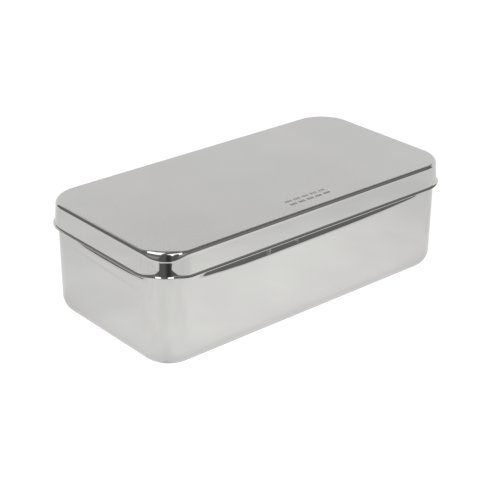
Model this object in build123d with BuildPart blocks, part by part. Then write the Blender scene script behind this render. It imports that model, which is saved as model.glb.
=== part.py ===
"""Lidded instrument tray: a deep-drawn stainless steel tray with a slip-over lid.

The real object is two pieces of drawn sheet steel. The tray is a seamless pan with a cut
rim. The lid is a shallow pan, turned over, whose skirt leans outward and ends in a small
flared lip, so that it drops over the tray's rim and can be gripped all round.

Frame: millimetres, +Z up, the long side along X, origin on the table under the centre.
Each shell is its sheet's cross-section swept once round a rounded rectangle, and closed
with a flat plate.
"""

import os
from math import cos, radians, sin, sqrt, tan

from build123d import *

# Whole
HEIGHT = 64.0  # from the table to the lid's top face
SHEET = 0.7  # thickness of both blanks
EDGE_ROUND = 0.25  # deburring of the two cut edges
PLATE_MARGIN = 1.0  # flat stretch of each swept section that its plate overlaps

# Tray
RIM_LENGTH = 200.0  # outside of the tray at its rim
RIM_WIDTH = 100.0
CORNER_RADIUS = 18.0  # upright corners, outside, at the rim
TRAY_DRAFT = 0.35  # degrees by which the walls close in towards the base
BASE_RADIUS = 9.5  # outside bend between wall and base

# Lid
RIM_GAP = 0.15  # between the tray's rim and the inside of the lid's skirt
SEAT_GAP = 0.1  # left between the rim and the inside of the lid's bend
TOP_BEND = 3.2  # outside bend between top and skirt
SKIRT_LEAN = 5.0  # degrees by which the skirt opens downward
LID_DEPTH = 13.0  # from the top face to the outside edge of the lip
LIP_RADIUS = 1.0  # bend from the skirt into the lip, on the outside face
LIP_TURN = 55.0  # degrees that the lip turns out from the skirt
LIP_FLAT = 0.65  # flat width of the lip past its bend

# Mark on the lid: a plain tally of shallow bars in place of any lettering
MARK_DEPTH = 0.1
MARK_CENTRE = (4.0, -39.0)
BAR_SIZE = (0.4, 1.9)
BAR_PITCH = 1.15
BARS_IN_GROUP = 4
GROUP_PITCH = 5.8
GROUPS = 5
ROW_PITCH = 4.1


def inside_bend_drop():
    """How far the rim lies below the lid's inner top face, where it meets the inside of the bend."""
    bend = TOP_BEND - SHEET
    reach = bend - RIM_GAP - EDGE_ROUND  # from the bend's centre to the centre of the rim's rounded edge
    rise = sqrt((bend - EDGE_ROUND - SEAT_GAP) ** 2 - reach**2)
    return bend - EDGE_ROUND - rise


RIM_HEIGHT = HEIGHT - SHEET - inside_bend_drop()


def outline(length, width, radius):
    """A closed rounded rectangle about the Z axis, to sweep a section round."""
    with BuildSketch() as shape:
        RectangleRounded(length, width, radius)
    return shape.wire()


def section_plane(path, height):
    """The plane across the start of a path: local X points outward and local Y up."""
    outward = (path % 0).cross(Vector(0, 0, 1))
    if outward.dot((path @ 0) - path.center()) < 0:
        outward = -outward
    return Plane(path @ 0 + Vector(0, 0, height), x_dir=outward, z_dir=outward.cross(Vector(0, 0, 1)))


def make_tray():
    """The drawn tray: leaning walls, a broad bend at the foot, a flat base and a cut rim."""
    path = outline(RIM_LENGTH, RIM_WIDTH, CORNER_RADIUS)
    foot = -RIM_HEIGHT * tan(radians(TRAY_DRAFT))  # where the wall's line meets the table, from the path
    inset = BASE_RADIUS - foot + PLATE_MARGIN
    with BuildPart() as tray:
        with BuildSketch(section_plane(path, 0)) as section:
            with BuildLine():
                outside = FilletPolyline((-inset, 0), (foot, 0), (0, RIM_HEIGHT), radius=BASE_RADIUS)
                offset(outside, amount=SHEET, side=Side.LEFT)
            make_face()
            fillet(section.vertices().group_by(Axis.Y)[-1], EDGE_ROUND)
        sweep(path=path)
        with BuildSketch():
            RectangleRounded(RIM_LENGTH - 2 * inset, RIM_WIDTH - 2 * inset, CORNER_RADIUS - inset)
        extrude(amount=SHEET)
    tray.part.label = "tray"
    return tray.part


def mark_places():
    """The centre of each bar of the mark, on the lid's top face."""
    in_row = range(GROUPS * BARS_IN_GROUP)
    along = [i // BARS_IN_GROUP * GROUP_PITCH + i % BARS_IN_GROUP * BAR_PITCH for i in in_row]
    half = along[-1] / 2
    x, y = MARK_CENTRE
    return [(x + a - half, y + side * ROW_PITCH / 2) for side in (-1, 1) for a in along]


def make_lid():
    """The drawn lid: flat top, small bend, leaning skirt and flared lip, with the mark pressed in."""
    proud = RIM_GAP + SHEET  # from the rim to the outside of the skirt, at the foot of the bend
    length, width, radius = RIM_LENGTH + 2 * proud, RIM_WIDTH + 2 * proud, CORNER_RADIUS + proud
    path = outline(length, width, radius)
    lean, turned = radians(SKIRT_LEAN), radians(SKIRT_LEAN + LIP_TURN)
    lip_depth = LIP_RADIUS * (sin(turned) - sin(lean)) + LIP_FLAT * cos(turned)
    lip_top = LID_DEPTH - lip_depth  # where the skirt ends and the lip begins
    corner = -TOP_BEND * tan(lean)  # where the top's and skirt's lines meet, from the path
    inset = TOP_BEND + PLATE_MARGIN
    with BuildPart() as lid:
        with BuildSketch(section_plane(path, HEIGHT)) as section:
            with BuildLine():
                skirt_end = (corner + lip_top * tan(lean), -lip_top)
                skirt = FilletPolyline((-inset, 0), (corner, 0), skirt_end, radius=TOP_BEND)
                lip_bend = JernArc(skirt @ 1, skirt % 1, LIP_RADIUS, LIP_TURN)
                Line(lip_bend @ 1, lip_bend @ 1 + lip_bend % 1 * LIP_FLAT)
                offset(amount=SHEET, side=Side.RIGHT)
            make_face()
            fillet(section.vertices().sort_by(Axis.Y)[:2], EDGE_ROUND)
        sweep(path=path)
        with BuildSketch(Plane.XY.offset(HEIGHT - SHEET)):
            RectangleRounded(length - 2 * inset, width - 2 * inset, radius - inset)
        extrude(amount=SHEET)
        with BuildSketch(Plane.XY.offset(HEIGHT)):
            with Locations(*mark_places()):
                Rectangle(*BAR_SIZE)
        extrude(amount=-MARK_DEPTH, mode=Mode.SUBTRACT)
    lid.part.label = "lid"
    return lid.part


os.makedirs("parts", exist_ok=True)
for piece in (make_tray(), make_lid()):
    export_step(piece, f"parts/{piece.label}.step")
    box = piece.bounding_box()
    print(piece.label, "solids", len(piece.solids()), "volume", round(piece.volume), box.min, box.max)
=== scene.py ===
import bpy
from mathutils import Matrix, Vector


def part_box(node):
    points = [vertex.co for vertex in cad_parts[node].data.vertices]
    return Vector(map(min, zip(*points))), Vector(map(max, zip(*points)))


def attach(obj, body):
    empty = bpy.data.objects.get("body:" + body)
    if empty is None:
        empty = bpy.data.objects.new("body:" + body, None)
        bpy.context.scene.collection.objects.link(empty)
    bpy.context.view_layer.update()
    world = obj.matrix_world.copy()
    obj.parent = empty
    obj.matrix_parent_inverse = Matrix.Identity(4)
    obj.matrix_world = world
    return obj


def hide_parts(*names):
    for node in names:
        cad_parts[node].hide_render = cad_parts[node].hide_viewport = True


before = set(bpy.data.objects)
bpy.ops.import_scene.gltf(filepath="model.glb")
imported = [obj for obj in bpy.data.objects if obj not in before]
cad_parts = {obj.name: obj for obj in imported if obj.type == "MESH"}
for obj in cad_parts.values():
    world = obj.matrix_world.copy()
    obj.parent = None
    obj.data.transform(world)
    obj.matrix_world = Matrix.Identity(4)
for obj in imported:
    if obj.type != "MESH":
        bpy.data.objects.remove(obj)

"""Looks of the lidded instrument tray: polished and satin drawn steel, in a plain white studio.

Metres, in the CAD's frame: +Z up, the long side along X, origin on the floor under the centre.
Each shell is one mesh: rings of points round a rounded rectangle, which follow the sheet's
section from the middle of its outside face, round its cut edge, to the middle of its inside.
"""

from math import cos, pi, radians, sin, tan

import bmesh
import bpy
import numpy as np
from mathutils import Matrix, Vector

MM = 0.001
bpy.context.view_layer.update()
tray_low, tray_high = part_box("tray")
lid_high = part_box("lid")[1]

# Sheet and tray, as in the CAD
SHEET = 0.7 * MM
EDGE_ROUND = 0.25 * MM
RIM_LENGTH = tray_high.x - tray_low.x
RIM_WIDTH = tray_high.y - tray_low.y
RIM_HEIGHT = tray_high.z
CORNER_RADIUS = 18.0 * MM
TRAY_DRAFT = radians(0.35)
BASE_RADIUS = 9.5 * MM
PLATE_MARGIN = 1.0 * MM

# Lid, as in the CAD
HEIGHT = lid_high.z
RIM_GAP = 0.15 * MM
PROUD = RIM_GAP + SHEET

# Lid, finer than in the CAD
UPRIGHT_DEPTH = 0.3 * MM  # the skirt just under the bend
LEAN_RADIUS = 6.0 * MM
SKIRT_LEAN = radians(4.9)  # the rest of the skirt
# Top bend, depth, radius of the flare, tilt at its end, lip's bend, tilt and flat
SIDE_PROFILE = (1.9 * MM, 13.0 * MM, 14.0 * MM, radians(6.0), 0.9 * MM, radians(60.0), 0.65 * MM)
CORNER_PROFILE = (4.1 * MM, 12.1 * MM, 30.0 * MM, radians(10.5), 1.0 * MM, radians(55.0), 0.95 * MM)
OTHER_CORNERS = 0.15  # share of the near corner's change in the other three
FROM_SHORT = (8.0, 34.0)  # degrees of a corner's arc in which the profile changes, from the short side
FROM_LONG = (3.0, 30.0)  # and from the long side

# Mark on the lid, its bars a little wider than in the CAD
MARK_DEPTH = 0.1 * MM
MARK_CENTRE = (4.0 * MM, -39.0 * MM)
BAR_SIZE = (0.6 * MM, 1.9 * MM)
BAR_PITCH = 1.15 * MM
BARS_IN_GROUP = 4
GROUP_PITCH = 5.8 * MM
GROUPS = 5
ROW_PITCH = 4.1 * MM
MARK_AREA = (20.0 * MM, 5.0 * MM)  # half sizes of an area that holds the mark and nothing else
MARK_FADE = 14.0 * MM  # the near row darkens from this far left of the centre to this far right of it

# Collar: the tray's walls lean in under the lid along the straight sides, and out again to the rim.
# Left and right are those of someone who faces the side.
COLLAR_START = 0.6 * MM  # height over which the wall turns into the slope
COLLAR_TOP = 50.2 * MM  # no further in above this
COLLAR_RETURN = (51.5 * MM, 59.0 * MM)  # where the wall comes out again
LONG_SLOPE = 0.31
LONG_BOTTOM = 45.1 * MM  # where the collar starts on a long side
LONG_RISE = (2.0 * MM, 3.0 * MM)  # how much higher it starts at the left and at the right end
LONG_RISE_RUN = 36.0 * MM  # length over which the left end rises
LONG_ENDS = (10.0 * MM, 9.0 * MM)  # lengths over which the two ends fade
END_OVERHANG = 1.5 * MM  # how far the left end runs on past the straight part
END_SLANT = 1.7  # run of the left end's slant for a rise of 1
END_SLANT_FOOT = 47.6 * MM  # where the slant starts from
SHORT_SLOPE = 0.38
SHORT_BOTTOM = 46.5 * MM  # where the collar starts on a short side
SHORT_RISE = 1.4 * MM  # how much higher it starts at SHORT_REACH from its lowest place
SHORT_REACH = 29.0 * MM
SHORT_LOWEST = -7.0 * MM  # the lowest place, from the middle of the side
SHORT_END = (1.0 * MM, 8.0 * MM)  # stretch past the straight part over which each end fades
CORNER_SET = 0.25 * MM  # how far the rim is drawn in at the corners
CORNER_SET_RISE = (52.0 * MM, 56.0 * MM)  # where that begins and where it is reached

# A faint crease along each short side, below the collar
CREASE_DEPTH = 0.17 * MM
CREASE_WIDTH = 0.9 * MM  # distance from its line at which a third of the depth is left
CREASE_HEIGHT = 43.2 * MM  # in the middle of the side
CREASE_TILT = 0.05  # rise to the left, for a run of 1
CREASE_RIGHT = (-40.0 * MM, -33.0 * MM)  # its right end, and where it is full
CREASE_LEFT = (36.0 * MM, 4.0 * MM)  # the same for its left end

# Unevenness
WAVE = 0.02 * MM
SKIRT_WAVE = 0.5  # share of it in the lid's skirt
SKIRT_INSET = 0.9 * WAVE  # how far the skirt is drawn in, so that its waves stay inside the CAD's
SKIRT_TOP = 3.0 * MM  # depth over which the lid's unevenness comes in
LONG_NORMAL = 0.999  # a point is on a long wall when the Y of its normal is beyond this
SHORT_NORMAL = 0.85  # and on a short wall, or the start of a corner, when the X is beyond this

# Mesh
SUPPORT = 0.2 * MM  # from the end of a straight run to the point that holds its shading flat
SIDE_STEP = 2.5 * MM
CORNER_STEPS = 60
PLATE_RINGS = 14
BASE_STEPS = 22
WALL_STEPS = 80
BEND_STEPS = 44
FLARE_STEPS = 5
LIP_STEPS = 14
EDGE_STEPS = 5

# Steel
COOL_TINT = (0.640, 0.644, 0.624, 1.0)
WARM_TINT = (0.656, 0.636, 0.626, 1.0)
MARK_DARK = (0.008, 0.008, 0.008, 1.0)
MARK_LIGHT = (0.55, 0.55, 0.54, 1.0)
TRAY_POLISHED = 0.035  # roughness of the tray's outside
LID_POLISHED = 0.03  # of the lid's bend and skirt
SATIN = 0.278  # of the lid's top
DRAWN = 0.30  # of both insides
TRAY_EDGE = 0.16  # of the cut edges
LID_EDGE = 0.12
TOP_HANDLED = 0.18  # share by which handling roughens the lid's outside
TINT_SCALE = (13.0, 13.0, 26.0)  # scales of the noise, per metre along X, Y and Z
HANDLING_SCALE = (26.0, 26.0, 36.0)
SCUFF_SCALE = (900.0, 900.0, 1500.0)
SPECKLE_SCALE = (2500.0, 2500.0, 2500.0)
HORIZONTAL = (25.0, 25.0, 2200.0)  # the same for the buffing lines round the walls
UPRIGHT = (1300.0, 1300.0, 18.0)  # for the draw lines up the walls
LENGTHWISE = (60.0, 1500.0, 60.0)  # for the rubbing lines along the lid's top
BUFFING_DEPTH = 0.2e-6
RUBBING_DEPTH = 0.05e-6
EDGE_DEPTH = 1.0e-6
DRAWING_DEPTH = 2.0e-6
SCUFFS = (  # centre and reach of each small scuff on the near long wall
    ((-31.5 * MM, -49.5 * MM, 47.6 * MM), 2.2 * MM),
    ((-12.4 * MM, -49.5 * MM, 47.8 * MM), 1.8 * MM),
)

# Studio. Azimuths, in degrees unless said, are those of a compass on which +Y is north.
FRONT = radians(-139.2)  # in radians: where the camera stands, in the south-west
FLOOR_SIZE = 10.0
FLOOR_LIGHT = 0.93
CEILING = 3.0
SURROUND_RADIUS = 0.50
SURROUND_RANGE = (108, 340)
BACK_RADIUS = 1.0
BACK_RANGE = (-22, 82)
BACK_ELEVATION = 41.2  # of the screen's top, seen from the lid
SIDE_RANGE = (82, 110)
SIDE_ELEVATION = 22.0
BACK_LEVEL = 0.85
STRIP_LEVEL = 1.8
WORLD_LEVEL = 0.16
STRIP_HEIGHT = 0.55  # of the overhead strips, above the lid
EYE_HEIGHT = 0.9 * HEIGHT  # height on the lid for which the studio is set up
ROOM_LEVEL = 0.17
ROOM_PATCHES = (  # azimuth, elevation, reach and extra level of each lighter patch in the dim room
    (-176, 38, 30, 0.25),
    (-106, 28, 26, 0.22),
    (4, 44, 34, 0.20),
    (134, 24, 24, 0.12),
)
GLOW_LIFT = 0.05 * MM  # of the glow above the floor
GLOW_LEVEL = 0.80
PAINTED_LIGHT_POOLS = (  # x, y and reach in mm, and extra level, of each painted pool of light on the floor glow
    (15, -100, 185, 0.22),
    (-150, -45, 200, 0.14),
)
PAINTED_CONTACT_SHADE = ((0.0, 30 * MM, 0.84), (1 * MM, 5 * MM, 0.70))  # from, to and level of the painted contact shadow at the base


def smooth(edge0, edge1, x):
    """0 below edge0, 1 above edge1, and smooth between."""
    t = np.clip((x - edge0) / (edge1 - edge0), 0.0, 1.0)
    return t * t * (3.0 - 2.0 * t)


def ramp(x, width):
    """The integral of a step that is softened over the width: 0 before 0, and x - width / 2 after it."""
    t = np.clip(x / width, 0.0, 1.0)
    return width * t * t / 2 + np.maximum(x - width, 0.0)


# Shells


class Walk:
    """A line in the plane of the section, walked by lines and arcs. Each point keeps its heading."""

    def __init__(self, out, up, heading):
        self.at = np.array([out, up])
        self.heading = heading
        self.points = [(out, up, heading)]

    def _add(self):
        self.points.append((self.at[0], self.at[1], self.heading))

    def line(self, length, steps):
        """A straight run, with a point near each end to hold the shading flat between them."""
        start = self.at.copy()
        along = np.array([cos(self.heading), sin(self.heading)])
        support = min(SUPPORT, length / 4)
        inner = [support + (length - 2 * support) * i / steps for i in range(steps + 1)]
        for distance in (*inner, length):
            self.at = start + along * distance
            self._add()

    def arc(self, radius, turn, steps):
        """An arc; a positive turn is to the left."""
        side = 1.0 if turn > 0 else -1.0
        centre = self.at + side * radius * np.array([-sin(self.heading), cos(self.heading)])
        start = self.heading
        for i in range(1, steps + 1):
            self.heading = start + turn * i / steps
            self.at = centre + side * radius * np.array([sin(self.heading), -cos(self.heading)])
            self._add()


def closed_section(path, inner_side):
    """Outside of the sheet, its rounded cut edge, and its inside walked back, as (out, up) points.

    Also gives how many points the outside and the cut edge have.
    """
    outer = [(out, up) for out, up, _ in path]
    inner = [
        (out - inner_side * SHEET * sin(h), up + inner_side * SHEET * cos(h)) for out, up, h in path
    ]
    heading = path[-1][2]
    along = np.array([cos(heading), sin(heading)])
    across = inner_side * np.array([-sin(heading), cos(heading)])
    tip = np.array(outer[-1])
    edge = []
    for centre_at, first in ((EDGE_ROUND, -pi / 2), (SHEET - EDGE_ROUND, 0.0)):
        centre = tip - along * EDGE_ROUND + across * centre_at
        for i in range(EDGE_STEPS + 1):
            a = first + pi / 2 * i / EDGE_STEPS
            edge.append(tuple(centre + EDGE_ROUND * (along * cos(a) + across * sin(a))))
    return np.array(outer[:-1] + edge + inner[:-1][::-1]), len(outer) - 1, len(edge)


def loop_samples(length, width, radius):
    """Base point and outward normal of each sample round a rounded rectangle, counter-clockwise."""
    half = np.array([length / 2 - radius, width / 2 - radius])
    bases, normals = [], []
    corners = [(1, 1), (-1, 1), (-1, -1), (1, -1)]
    for k, corner in enumerate(corners):
        base = half * corner
        for i in range(CORNER_STEPS + 1):
            a = pi / 2 * (k + i / CORNER_STEPS)
            bases.append(base)
            normals.append((cos(a), sin(a)))
        after = half * corners[(k + 1) % 4]
        run = np.linalg.norm(after - base)
        steps = round(run / SIDE_STEP)
        for d in [SUPPORT + (run - 2 * SUPPORT) * i / steps for i in range(steps + 1)]:
            bases.append(base + (after - base) * d / run)
            normals.append(normals[-1])
    return np.array(bases), np.array(normals)


def corner_share(bases, normals):
    """0 along the sides, 1 in the middle of the near corner's arc, and less in the others."""
    turn = np.degrees(np.arctan2(np.abs(normals[:, 1]), np.abs(normals[:, 0])))  # 0 on the short sides
    near = np.where((bases[:, 0] < 0) & (bases[:, 1] < 0), 1.0, OTHER_CORNERS)
    return near * smooth(*FROM_SHORT, turn) * smooth(*FROM_LONG, 90.0 - turn)


def shell_mesh(name, length, width, radius, sections, bend, finishes):
    """Rings along the section, with both ends run in to the middle of their flat plates.

    The section changes from the first of the pair, along the sides, to the second, at the corners.
    The finishes are the materials of the outside, the cut edge and the inside.
    """
    bases, normals = loop_samples(length, width, radius)
    count = len(bases)
    middle = (length - width) / 2
    at_corner = corner_share(bases, normals)
    (side, outside_count, edge_count), (corner, _, _) = sections
    rings = []
    for (side_out, side_up), (corner_out, corner_up) in zip(side, corner):
        out = side_out + (corner_out - side_out) * at_corner
        up = side_up + (corner_up - side_up) * at_corner
        xy = bases + normals * (radius + out)[:, None]
        rings.append(np.column_stack([xy, up]))

    def plate(ring):
        ends = np.column_stack([np.clip(ring[:, 0], -middle, middle), np.zeros(count), ring[:, 2]])
        return [ring + (ends - ring) * (i / PLATE_RINGS) for i in range(1, PLATE_RINGS + 1)]

    rings = plate(rings[0])[::-1] + rings + plate(rings[-1])
    points = np.concatenate([bend(ring, normals) for ring in rings])
    faces, kinds = [], []
    first_edge = PLATE_RINGS + outside_count
    for j in range(len(rings) - 1):
        kind = 0 if j < first_edge else 1 if j < first_edge + edge_count - 1 else 2
        for i in range(count):
            k = (i + 1) % count
            faces.append((j * count + i, j * count + k, (j + 1) * count + k, (j + 1) * count + i))
            kinds.append(kind)
    mesh = bpy.data.meshes.new(name)
    mesh.from_pydata(points.tolist(), [], faces)
    for finish in finishes:
        mesh.materials.append(finish)
    mesh.polygons.foreach_set("material_index", kinds)
    bm = bmesh.new()
    bm.from_mesh(mesh)
    bmesh.ops.remove_doubles(bm, verts=bm.verts, dist=1e-7)
    bmesh.ops.recalc_face_normals(bm, faces=bm.faces)
    bm.to_mesh(mesh)
    bm.free()
    mesh.shade_smooth()
    mesh.update()
    made = bpy.data.objects.new(name, mesh)
    bpy.context.scene.collection.objects.link(made)
    return made


def unevenness(ring):
    """A slow wave over a whole shell, the same after a half turn."""
    x, y, z = ring[:, 0], ring[:, 1], ring[:, 2]
    across = np.sin(x * y * 6.0e3 + 0.6) * np.cos(z * 190.0)
    return WAVE * (across + 0.6 * np.sin(np.abs(x + y) * 150.0 + z * 120.0))


def long_collar(x, z):
    """How far a long wall is set in under the lid. The collar's left end is cut off aslant."""
    half = RIM_LENGTH / 2 - CORNER_RADIUS
    left, right = LONG_RISE
    capped = np.minimum(z, COLLAR_TOP)
    bottom = LONG_BOTTOM + right * np.clip((x + half) / (2 * half), 0.0, 1.0) ** 4
    bottom += left * np.clip(1.0 - (x + half) / LONG_RISE_RUN, 0.0, 1.0) ** 1.5
    aslant = x - END_SLANT * (capped - END_SLANT_FOOT)
    left_end = -half - END_OVERHANG
    strength = smooth(left_end, left_end + LONG_ENDS[0], aslant) * smooth(-half, -half + LONG_ENDS[1], -x)
    return LONG_SLOPE * strength * ramp(capped - bottom, COLLAR_START)


def short_collar(y, z):
    """How far a short wall is set in under the lid."""
    half = RIM_WIDTH / 2 - CORNER_RADIUS
    bottom = SHORT_BOTTOM + SHORT_RISE * np.abs((y - SHORT_LOWEST) / SHORT_REACH) ** 3
    strength = smooth(half + SHORT_END[1], half + SHORT_END[0], np.abs(y))
    return SHORT_SLOPE * strength * ramp(np.minimum(z, COLLAR_TOP) - bottom, COLLAR_START)


def crease(y, z):
    """How far a short wall is set in by its crease."""
    off_line = (z - CREASE_HEIGHT - CREASE_TILT * y) / CREASE_WIDTH
    from_left = smooth(-CREASE_LEFT[0], -CREASE_LEFT[1], -y)
    return CREASE_DEPTH * smooth(*CREASE_RIGHT, y) * from_left * np.exp(-(off_line**2))


def bend_tray(ring, normals):
    """Sets the walls in under the lid, creases the short ones, and makes all a little uneven."""
    far_sides = (normals[:, 1] > 0.5) | (normals[:, 0] > 0.5)
    turned = np.where(far_sides, -1.0, 1.0)  # they are the near sides, half turned
    x, y, z = turned * ring[:, 0], turned * ring[:, 1], ring[:, 2]
    on_long = np.abs(normals[:, 1]) > LONG_NORMAL
    on_short = np.abs(normals[:, 0]) > SHORT_NORMAL
    on_corner = smooth(0.0, 0.3, np.abs(normals[:, 0] * normals[:, 1]))
    set_in = on_long * long_collar(x, z) + on_short * short_collar(y, z)
    set_in *= 1.0 - smooth(*COLLAR_RETURN, z)
    set_in += CORNER_SET * smooth(*CORNER_SET_RISE, z) * on_corner + on_short * crease(y, z)
    in_wall = smooth(BASE_RADIUS, 2 * BASE_RADIUS, z)
    moved = ring.copy()
    moved[:, :2] -= normals * (set_in + in_wall * unevenness(ring))[:, None]
    return moved


def bend_lid(ring, normals):
    """Makes the skirt a little uneven, inward only."""
    in_skirt = smooth(0.0, SKIRT_TOP, HEIGHT - ring[:, 2])
    moved = ring.copy()
    moved[:, :2] -= normals * (in_skirt * (SKIRT_WAVE * unevenness(ring) + SKIRT_INSET))[:, None]
    return moved


def tray_section():
    """From the outside of the base, up the wall, over the rim and down the inside."""
    foot = -RIM_HEIGHT * tan(TRAY_DRAFT)
    inset = BASE_RADIUS - foot + PLATE_MARGIN
    turn = pi / 2 - TRAY_DRAFT
    tangent = BASE_RADIUS * tan(turn / 2)
    walk = Walk(-inset, 0.0, 0.0)
    walk.line(inset + foot - tangent, 2)
    walk.arc(BASE_RADIUS, turn, BASE_STEPS)
    walk.line((RIM_HEIGHT - walk.at[1]) / cos(TRAY_DRAFT), WALL_STEPS)
    return closed_section(walk.points, 1.0)


def lid_section(bend, depth, flare_radius, flare, lip_radius, lip_tilt, lip_flat):
    """From the top, down the skirt and the lip, round its edge and up the inside."""
    lip_drop = lip_flat * cos(lip_tilt) + lip_radius * (sin(lip_tilt) - sin(flare))
    flare_drop = flare_radius * (sin(flare) - sin(SKIRT_LEAN))
    skirt_end = HEIGHT - depth + lip_drop + flare_drop
    plate = CORNER_PROFILE[0] + PLATE_MARGIN
    walk = Walk(-plate, HEIGHT, 0.0)
    walk.line(plate - bend, 2)
    walk.arc(bend, -pi / 2, BEND_STEPS)
    walk.line(UPRIGHT_DEPTH, 2)
    walk.arc(LEAN_RADIUS, SKIRT_LEAN, 6)
    walk.line((walk.at[1] - skirt_end) / cos(SKIRT_LEAN), 4)
    walk.arc(flare_radius, flare - SKIRT_LEAN, FLARE_STEPS)
    walk.arc(lip_radius, lip_tilt - flare, LIP_STEPS)
    walk.line(lip_flat, 1)
    return closed_section(walk.points, -1.0)


def cut_mark(lid, etched):
    """Sinks the tally bars into the lid's top."""
    in_row = range(GROUPS * BARS_IN_GROUP)
    along = [i // BARS_IN_GROUP * GROUP_PITCH + i % BARS_IN_GROUP * BAR_PITCH for i in in_row]
    places = [(a - along[-1] / 2, side * ROW_PITCH / 2) for side in (-1, 1) for a in along]
    bm = bmesh.new()
    for x, y in places:
        middle = Vector((MARK_CENTRE[0] + x, MARK_CENTRE[1] + y, HEIGHT))
        size = Matrix.Diagonal((*BAR_SIZE, 2 * MARK_DEPTH, 1.0))
        bmesh.ops.create_cube(bm, size=1.0, matrix=Matrix.Translation(middle) @ size)
    mesh = bpy.data.meshes.new("mark_cutter")
    bm.to_mesh(mesh)
    bm.free()
    cutter = bpy.data.objects.new("mark_cutter", mesh)
    bpy.context.scene.collection.objects.link(cutter)
    cut = lid.modifiers.new("mark", "BOOLEAN")
    cut.operation = "DIFFERENCE"
    cut.solver = "EXACT"
    cut.object = cutter
    result = bpy.data.meshes.new_from_object(lid.evaluated_get(bpy.context.evaluated_depsgraph_get()))
    lid.modifiers.clear()
    lid.data = result
    bpy.data.objects.remove(cutter)
    result.materials.append(etched)
    for polygon in result.polygons:
        x, y, z = polygon.center
        in_area = abs(x - MARK_CENTRE[0]) < MARK_AREA[0] and abs(y - MARK_CENTRE[1]) < MARK_AREA[1]
        if in_area and 0.1 * MARK_DEPTH < HEIGHT - z < 2 * MARK_DEPTH:
            polygon.material_index = len(result.materials) - 1
    result.set_sharp_from_angle(angle=radians(50))


# Materials


def new_material(name):
    material = bpy.data.materials.new(name)
    material.use_nodes = True
    return material, material.node_tree, material.node_tree.nodes["Principled BSDF"]


def node(tree, kind, values=(), **settings):
    """A node with its settings, and with the value or the linked output of each given input."""
    made = tree.nodes.new(kind)
    for key, value in settings.items():
        setattr(made, key, value)
    for socket, value in dict(values).items():
        if isinstance(value, bpy.types.NodeSocket):
            tree.links.new(value, made.inputs[socket])
        else:
            made.inputs[socket].default_value = value
    return made


def calc(tree, operation, first, second):
    return node(tree, "ShaderNodeMath", {0: first, 1: second}, operation=operation).outputs[0]


def blend(tree, value, low, high, out_low, out_high):
    """Smooth change from out_low to out_high as the value goes from low to high."""
    limits = {"Value": value, "From Min": low, "From Max": high, "To Min": out_low, "To Max": out_high}
    return node(tree, "ShaderNodeMapRange", limits, interpolation_type="SMOOTHSTEP").outputs[0]


def grain(tree, place, scale, detail, low, high, out_low=0.0, out_high=1.0):
    """Noise with its own scale along each axis, between two levels."""
    stretched = node(tree, "ShaderNodeMapping", {"Vector": place, "Scale": scale})
    values = {"Vector": stretched.outputs[0], "Scale": 1.0, "Detail": detail}
    noise = node(tree, "ShaderNodeTexNoise", values)
    return blend(tree, noise.outputs[0], low, high, out_low, out_high)


def near_point(tree, place, point, reach, level):
    """The level at a point, fading smoothly to nothing at its reach."""
    far = node(tree, "ShaderNodeVectorMath", {0: place, 1: point}, operation="DISTANCE")
    return blend(tree, far.outputs["Value"], 0.0, reach, level, 0.0)


def steel(name, roughness, streaks, streak_depth, handled=0.5, scuffs=()):
    """Bare stainless steel with soft tints, handling marks, fine streaks and small scuffs.

    The roughness is a number, or a function that makes it from the tree and place. The streaks are
    their scale along X, Y and Z. Where the steel is most handled, its roughness grows by that share.
    """
    material, tree, shader = new_material(name)
    place = node(tree, "ShaderNodeTexCoord").outputs["Object"]
    shader.inputs["Metallic"].default_value = 1.0
    tint = grain(tree, place, TINT_SCALE, 1.0, 0.25, 0.75)
    tints = {0: tint, 6: COOL_TINT, 7: WARM_TINT}
    colour = node(tree, "ShaderNodeMix", tints, data_type="RGBA")
    tree.links.new(colour.outputs[2], shader.inputs["Base Color"])
    if callable(roughness):
        roughness = roughness(tree, place)
    marks = grain(tree, place, HANDLING_SCALE, 2.0, 0.15, 0.85, 1.0, 1.0 + handled)
    rough = calc(tree, "MULTIPLY", roughness, marks)
    for point, reach in scuffs:
        spot = near_point(tree, place, point, reach, 0.9)
        broken = grain(tree, place, SCUFF_SCALE, 3.0, 0.40, 0.55)
        rough = calc(tree, "ADD", rough, calc(tree, "MULTIPLY", spot, broken))
    tree.links.new(rough, shader.inputs["Roughness"])
    lines = grain(tree, place, streaks, 3.0, 0.45, 0.75)
    bump = node(tree, "ShaderNodeBump", {"Strength": 1.0, "Distance": streak_depth, "Height": lines})
    tree.links.new(bump.outputs[0], shader.inputs["Normal"])
    return material


def satin_above_bend(tree, place):
    """Satin on the lid's top, running out into the polish over the first part of the bend."""
    up = node(tree, "ShaderNodeSeparateXYZ", {0: place}).outputs[2]
    return blend(tree, up, HEIGHT - 0.35 * MM, HEIGHT - 0.02 * MM, LID_POLISHED, SATIN)


def etched_steel(name):
    """The bottom of the mark: dull and dark, darker in the near row and towards its right end."""
    material, tree, shader = new_material(name)
    place = node(tree, "ShaderNodeTexCoord").outputs["Object"]
    parts = node(tree, "ShaderNodeSeparateXYZ", {0: place}).outputs
    row = blend(tree, parts[1], MARK_CENTRE[1] - 0.5 * MM, MARK_CENTRE[1] + 0.5 * MM, 0.0, 1.0)
    left, right = MARK_CENTRE[0] - MARK_FADE, MARK_CENTRE[0] + MARK_FADE
    along = blend(tree, parts[0], left, right, 0.35, 0.0)
    speckle = grain(tree, place, SPECKLE_SCALE, 3.0, 0.35, 0.65, 0.0, 0.12)
    light = calc(tree, "ADD", calc(tree, "MAXIMUM", row, along), speckle)
    colours = {0: light, 6: MARK_DARK, 7: MARK_LIGHT}
    colour = node(tree, "ShaderNodeMix", colours, data_type="RGBA")
    tree.links.new(colour.outputs[2], shader.inputs["Base Color"])
    shader.inputs["Metallic"].default_value = 0.6
    shader.inputs["Roughness"].default_value = 0.5
    return material


# Pieces

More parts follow.
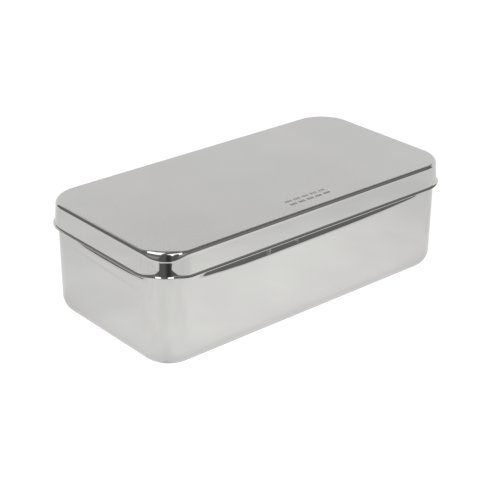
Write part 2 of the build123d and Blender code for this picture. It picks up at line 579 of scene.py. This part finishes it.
tray = shell_mesh(
    "tray_shell",
    RIM_LENGTH,
    RIM_WIDTH,
    CORNER_RADIUS,
    (tray_section(), tray_section()),
    bend_tray,
    (
        steel("tray_polished", TRAY_POLISHED, HORIZONTAL, BUFFING_DEPTH, scuffs=SCUFFS),
        steel("tray_cut_edge", TRAY_EDGE, UPRIGHT, EDGE_DEPTH),
        steel("tray_drawn", DRAWN, UPRIGHT, DRAWING_DEPTH),
    ),
)
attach(tray, "tray")
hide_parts("tray")

lid = shell_mesh(
    "lid_shell",
    RIM_LENGTH + 2 * PROUD,
    RIM_WIDTH + 2 * PROUD,
    CORNER_RADIUS + PROUD,
    (lid_section(*SIDE_PROFILE), lid_section(*CORNER_PROFILE)),
    bend_lid,
    (
        steel("lid_outside", satin_above_bend, LENGTHWISE, RUBBING_DEPTH, handled=TOP_HANDLED),
        steel("lid_cut_edge", LID_EDGE, UPRIGHT, EDGE_DEPTH),
        steel("lid_drawn", DRAWN, UPRIGHT, DRAWING_DEPTH),
    ),
)
cut_mark(lid, etched_steel("lid_mark"))
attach(lid, "lid")
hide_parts("lid")

# Studio: the cards are only seen in the object's gloss

corner = Vector((-RIM_LENGTH / 2 + CORNER_RADIUS, -RIM_WIDTH / 2 + CORNER_RADIUS, EYE_HEIGHT))


def toward(azimuth, distance, start=(0.0, 0.0)):
    """The point on the floor plan at a distance from the start, in the direction of the azimuth."""
    return (start[0] + distance * sin(azimuth), start[1] + distance * cos(azimuth))


def glow(name, level):
    """A light of its own. The level is a number, or a function that makes it from the tree and place."""
    material = bpy.data.materials.new(name)
    material.use_nodes = True
    tree = material.node_tree
    tree.nodes.clear()
    place = node(tree, "ShaderNodeTexCoord").outputs["Object"]
    strength = level(tree, place) if callable(level) else level
    emission = node(tree, "ShaderNodeEmission", {"Strength": strength})
    node(tree, "ShaderNodeOutputMaterial", {"Surface": emission.outputs[0]})
    material.cycles.emission_sampling = "NONE"
    return material


def stage_mesh(name, points, faces, material, seen=False):
    mesh = bpy.data.meshes.new(name)
    mesh.from_pydata(points, [], faces)
    mesh.materials.append(material)
    made = bpy.data.objects.new(name, mesh)
    bpy.context.scene.collection.objects.link(made)
    if not seen:
        made.visible_camera = False
        made.visible_diffuse = False
        made.visible_shadow = False


def level_card(name, centre, along_azimuth, length, width, height, material, seen=False):
    """A horizontal rectangle, with its length along the azimuth."""
    lengthwise = Vector(toward(along_azimuth, length / 2))
    sideways = Vector(toward(along_azimuth + pi / 2, width / 2))
    middle = Vector(centre)
    corners = [middle + a * lengthwise + b * sideways for a, b in ((-1, -1), (1, -1), (1, 1), (-1, 1))]
    stage_mesh(name, [(*c, height) for c in corners], [(0, 1, 2, 3)], material, seen)


def screen(name, radius, first, last, low, high, material):
    """An upright screen, curved round the object from one azimuth to the other, in degrees."""
    steps = max(1, round(abs(last - first) / 5))
    turns = [radians(first + (last - first) * i / steps) for i in range(steps + 1)]
    points = [(*toward(a, radius), low) for a in turns] + [(*toward(a, radius), high) for a in turns]
    faces = [(i, i + 1, i + steps + 2, i + steps + 1) for i in range(steps)]
    stage_mesh(name, points, faces, material)


def room_level(tree, place):
    """Dim room, with soft lighter patches in it, as seen from the near corner."""
    seen_from = node(tree, "ShaderNodeVectorMath", {0: place, 1: corner}, operation="SUBTRACT").outputs[0]
    direction = node(tree, "ShaderNodeVectorMath", {0: seen_from}, operation="NORMALIZE").outputs[0]
    level = ROOM_LEVEL
    for azimuth, elevation, reach, extra in ROOM_PATCHES:
        flat = toward(radians(azimuth), cos(radians(elevation)))
        point = (*flat, sin(radians(elevation)))
        patch = near_point(tree, direction, point, 2 * sin(radians(reach) / 2), extra)
        level = calc(tree, "ADD", patch, level)
    return level


def floor_level(tree, place):
    """The floor as the steel sees it: painted pools of light, brightest before the near long side and the
    near corner, and a painted contact shadow round the tray's base.
    """
    flat = node(tree, "ShaderNodeVectorMath", {0: place, 1: (1.0, 1.0, 0.0)}, operation="MULTIPLY").outputs[0]
    level = GLOW_LEVEL
    # painted pools of light on the floor glow
    for x, y, reach, extra in PAINTED_LIGHT_POOLS:
        level = calc(tree, "ADD", near_point(tree, flat, (x * MM, y * MM, 0.0), reach * MM, extra), level)
    level = calc(tree, "ADD", grain(tree, flat, (22.0, 22.0, 1.0), 2.0, 0.30, 0.70, -0.03, 0.03), level)
    size = node(tree, "ShaderNodeVectorMath", {0: flat}, operation="ABSOLUTE").outputs[0]
    half = (RIM_LENGTH / 2 - BASE_RADIUS, RIM_WIDTH / 2 - BASE_RADIUS, 0.0)
    beyond = node(tree, "ShaderNodeVectorMath", {0: size, 1: half}, operation="SUBTRACT").outputs[0]
    parts = node(tree, "ShaderNodeSeparateXYZ", {0: beyond}).outputs
    from_base = calc(tree, "MAXIMUM", parts[0], parts[1])
    # painted contact shadow: the glow darkens towards the tray's base
    for first, last, dimmed in PAINTED_CONTACT_SHADE:
        level = calc(tree, "MULTIPLY", level, blend(tree, from_base, first, last, dimmed, 1.0))
    return level


def pale_floor(name):
    """Matte, and lit from within up to the backdrop's white."""
    material, _, shader = new_material(name)
    shader.inputs["Base Color"].default_value = (0.8, 0.8, 0.8, 1.0)
    shader.inputs["Roughness"].default_value = 1.0
    shader.inputs["Specular IOR Level"].default_value = 0.0
    shader.inputs["Emission Color"].default_value = (1.0, 1.0, 1.0, 1.0)
    shader.inputs["Emission Strength"].default_value = FLOOR_LIGHT
    material.cycles.emission_sampling = "NONE"
    return material


level_card("floor", (0.0, 0.0), 0.0, FLOOR_SIZE, FLOOR_SIZE, 0.0, pale_floor("floor"), seen=True)
glow_size = 2 * BACK_RADIUS
glow_finish = glow("floor_glow", floor_level)
level_card("floor_glow", (0.0, 0.0), 0.0, glow_size, glow_size, GLOW_LIFT, glow_finish)

room = glow("room", room_level)
screen("surround", SURROUND_RADIUS, *SURROUND_RANGE, 0.0, CEILING, room)
back_glow = glow("back_light", BACK_LEVEL)
for side, span, elevation in (("back", BACK_RANGE, BACK_ELEVATION), ("side", SIDE_RANGE, SIDE_ELEVATION)):
    top = EYE_HEIGHT + BACK_RADIUS * tan(radians(elevation))
    screen(side + "_light", BACK_RADIUS, *span, 0.0, top, back_glow)
    screen(side + "_high", BACK_RADIUS, *span, top, CEILING, room)
level_card("ceiling", (0.0, 0.0), 0.0, CEILING, CEILING, CEILING, room)

# A tall narrow flag straight before the near corner, with a dark core. Its two sides are given as
# height and half width, in millimetres.
FLAG_DISTANCE = CORNER_RADIUS + 142 * MM
FLAG_LEFT = ((0, 66), (6, 62), (14, 58), (24, 80), (34, 108), (58, 115), (70, 66), (1900, 62))
FLAG_RIGHT = ((0, 40), (6, 38), (14, 37), (24, 60), (34, 98), (58, 115), (70, 58), (1900, 58))
CORE_OFFSET = -14 * MM
flag_foot = Vector((*toward(FRONT, FLAG_DISTANCE, corner), 0.0))
flag_across = Vector((cos(FRONT), -sin(FRONT), 0.0))


def flag_level(tree, place):
    """Darkest along an upright line near the flag's middle."""
    core = flag_foot.dot(flag_across) + CORE_OFFSET
    projected = node(tree, "ShaderNodeVectorMath", {0: place, 1: flag_across}, operation="DOT_PRODUCT")
    along = projected.outputs["Value"]
    off_core = calc(tree, "ABSOLUTE", calc(tree, "SUBTRACT", along, core), 0.0)
    return blend(tree, off_core, 4 * MM, 34 * MM, 0.045, 0.125)


outline = [(-reach, up) for up, reach in FLAG_RIGHT] + [(reach, up) for up, reach in FLAG_LEFT[::-1]]
points = [flag_foot + flag_across * reach * MM + Vector((0.0, 0.0, up * MM)) for reach, up in outline]
stage_mesh("flag", [tuple(p) for p in points], [tuple(range(len(points)))], glow("flag", flag_level))


strip_finish = glow("strip_light", STRIP_LEVEL)


def strip_light(name, azimuth, near, far, start, end):
    """An overhead strip: its azimuth, how far it is off the zenith, and where it runs from and to.

    The distances are for a height of 1 above the bend of the near corner.
    """
    bend = toward(FRONT, CORNER_RADIUS, corner)
    middle = toward(azimuth, STRIP_HEIGHT * (near + far) / 2, bend)
    middle = toward(azimuth + pi / 2, STRIP_HEIGHT * (start + end) / 2, middle)
    size = (STRIP_HEIGHT * (end - start), STRIP_HEIGHT * (far - near))
    level_card(name, middle, azimuth + pi / 2, *size, HEIGHT + STRIP_HEIGHT, strip_finish)


strip_light("strip_left", radians(-33.5), 0.145, 0.32, -0.31, 0.33)
strip_light("strip_right", radians(108.0), -0.05, 0.12, 0.05, 0.72)

world = bpy.data.worlds.new("studio")
bpy.context.scene.world = world
world.use_nodes = True
background = world.node_tree.nodes["Background"]
background.inputs["Color"].default_value = (1.0, 1.0, 1.0, 1.0)
background.inputs["Strength"].default_value = WORLD_LEVEL
world.cycles.sampling_method = "NONE"

# Camera
CAMERA_AZIMUTH = radians(-40.77)
CAMERA_ELEVATION = radians(25.16)
CAMERA_ROLL = radians(0.35)
CAMERA_DISTANCE = 738.5 * MM
CAMERA_AIM = Vector((-8.5, -8.0, 32.0)) * MM
LENS = 98.8

camera_data = bpy.data.cameras.new("camera")
camera = bpy.data.objects.new("camera", camera_data)
bpy.context.scene.collection.objects.link(camera)
level_back = Vector((sin(CAMERA_AZIMUTH), -cos(CAMERA_AZIMUTH), 0.0)) * cos(CAMERA_ELEVATION)
back = level_back + Vector((0.0, 0.0, sin(CAMERA_ELEVATION)))
roll = Matrix.Rotation(CAMERA_ROLL, 3, "Z").to_quaternion()
camera.rotation_mode = "QUATERNION"
camera.rotation_quaternion = (-back).to_track_quat("-Z", "Y") @ roll
camera.location = CAMERA_AIM + back * CAMERA_DISTANCE
camera_data.lens = LENS
camera_data.clip_start = 0.01
camera_data.clip_end = 50.0
bpy.context.scene.camera = camera
bpy.context.scene.view_settings.view_transform = "Standard"
